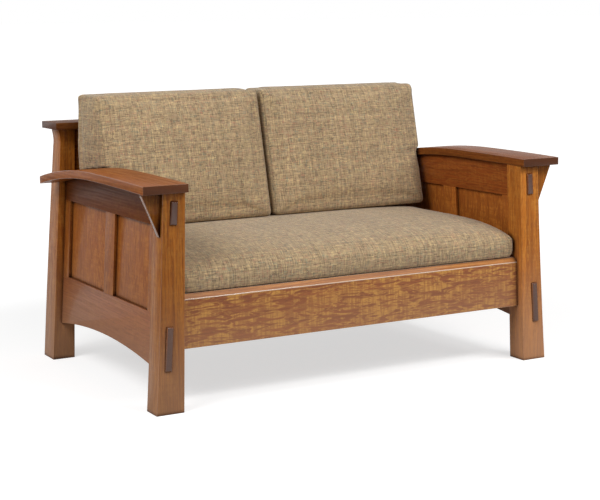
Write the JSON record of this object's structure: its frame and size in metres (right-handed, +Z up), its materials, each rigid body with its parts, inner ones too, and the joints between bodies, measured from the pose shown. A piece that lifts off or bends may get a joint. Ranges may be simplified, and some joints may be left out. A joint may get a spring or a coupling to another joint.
{
  "type": "shaker loveseat",
  "caption": "Two-seat loveseat of stained oak with bow arms, panelled sides and through tenons, a bench seat cushion and loose back cushions in tweed.",
  "frame": {"origin": "middle of the footprint on the floor (bottom centre of the bounding box)", "axes": "+Z up, front faces -Y, +X is the right of someone who looks at the front"},
  "size_m": [1.444, 0.947, 0.8834],
  "materials": {
    "stained_oak": "quartersawn oak with a warm brown stain and a satin lacquer",
    "stained_oak_dark": "quartersawn oak, the same stain, a little darker on the boards that catch less light",
    "tweed": "plain-woven tweed in tan with darker, reddish and greenish threads",
    "zinc_screw": "zinc-plated steel"
  },
  "bodies": {
    "frame": {"front_post_left": "stained_oak", "front_post_right": "stained_oak", "rear_post_left": "stained_oak", "rear_post_right": "stained_oak", "arm_left": "stained_oak_dark", "arm_right": "stained_oak_dark", "corbel_left": "stained_oak_dark", "corbel_right": "stained_oak_dark", "side_top_rail_left": "stained_oak_dark", "side_top_rail_right": "stained_oak_dark", "side_bottom_rail_left": "stained_oak_dark", "side_bottom_rail_right": "stained_oak_dark", "front_stile_left": "stained_oak", "front_stile_right": "stained_oak", "middle_stile_left": "stained_oak", "middle_stile_right": "stained_oak", "rear_stile_left": "stained_oak", "rear_stile_right": "stained_oak", "front_panel_left": "stained_oak", "front_panel_right": "stained_oak", "rear_panel_left": "stained_oak", "rear_panel_right": "stained_oak", "seat_front_rail": "stained_oak", "seat_rear_rail": "stained_oak", "front_cleat": "stained_oak", "rear_cleat": "stained_oak", "cleat_screws": "zinc_screw", "seat_slat_1": "stained_oak", "seat_slat_2": "stained_oak", "seat_slat_3": "stained_oak", "seat_slat_4": "stained_oak", "seat_slat_5": "stained_oak", "seat_slat_6": "stained_oak", "seat_slat_7": "stained_oak", "seat_slat_8": "stained_oak", "seat_slat_9": "stained_oak", "back_cap": "stained_oak_dark", "back_crest_rail": "stained_oak", "back_lower_rail": "stained_oak", "back_slat_1": "stained_oak", "back_slat_2": "stained_oak", "back_slat_3": "stained_oak", "back_slat_4": "stained_oak", "back_slat_5": "stained_oak", "back_slat_6": "stained_oak", "back_slat_7": "stained_oak", "back_slat_8": "stained_oak", "back_slat_9": "stained_oak"},
    "seat_cushion": {"seat_cushion": "tweed"},
    "back_cushion_left": {"back_cushion_left": "tweed"},
    "back_cushion_right": {"back_cushion_right": "tweed"}
  },
  "joints": [
    {"name": "seat_cushion_slide", "type": "slide", "parent": "frame", "child": "seat_cushion", "axis": [0, -1, 0], "range_m": [0, 0.84]},
    {"name": "back_cushion_left_lift", "type": "slide", "parent": "frame", "child": "back_cushion_left", "axis": [0, 0, 1], "range_m": [0, 0.35]},
    {"name": "back_cushion_right_lift", "type": "slide", "parent": "frame", "child": "back_cushion_right", "axis": [0, 0, 1], "range_m": [0, 0.35]}
  ]
}
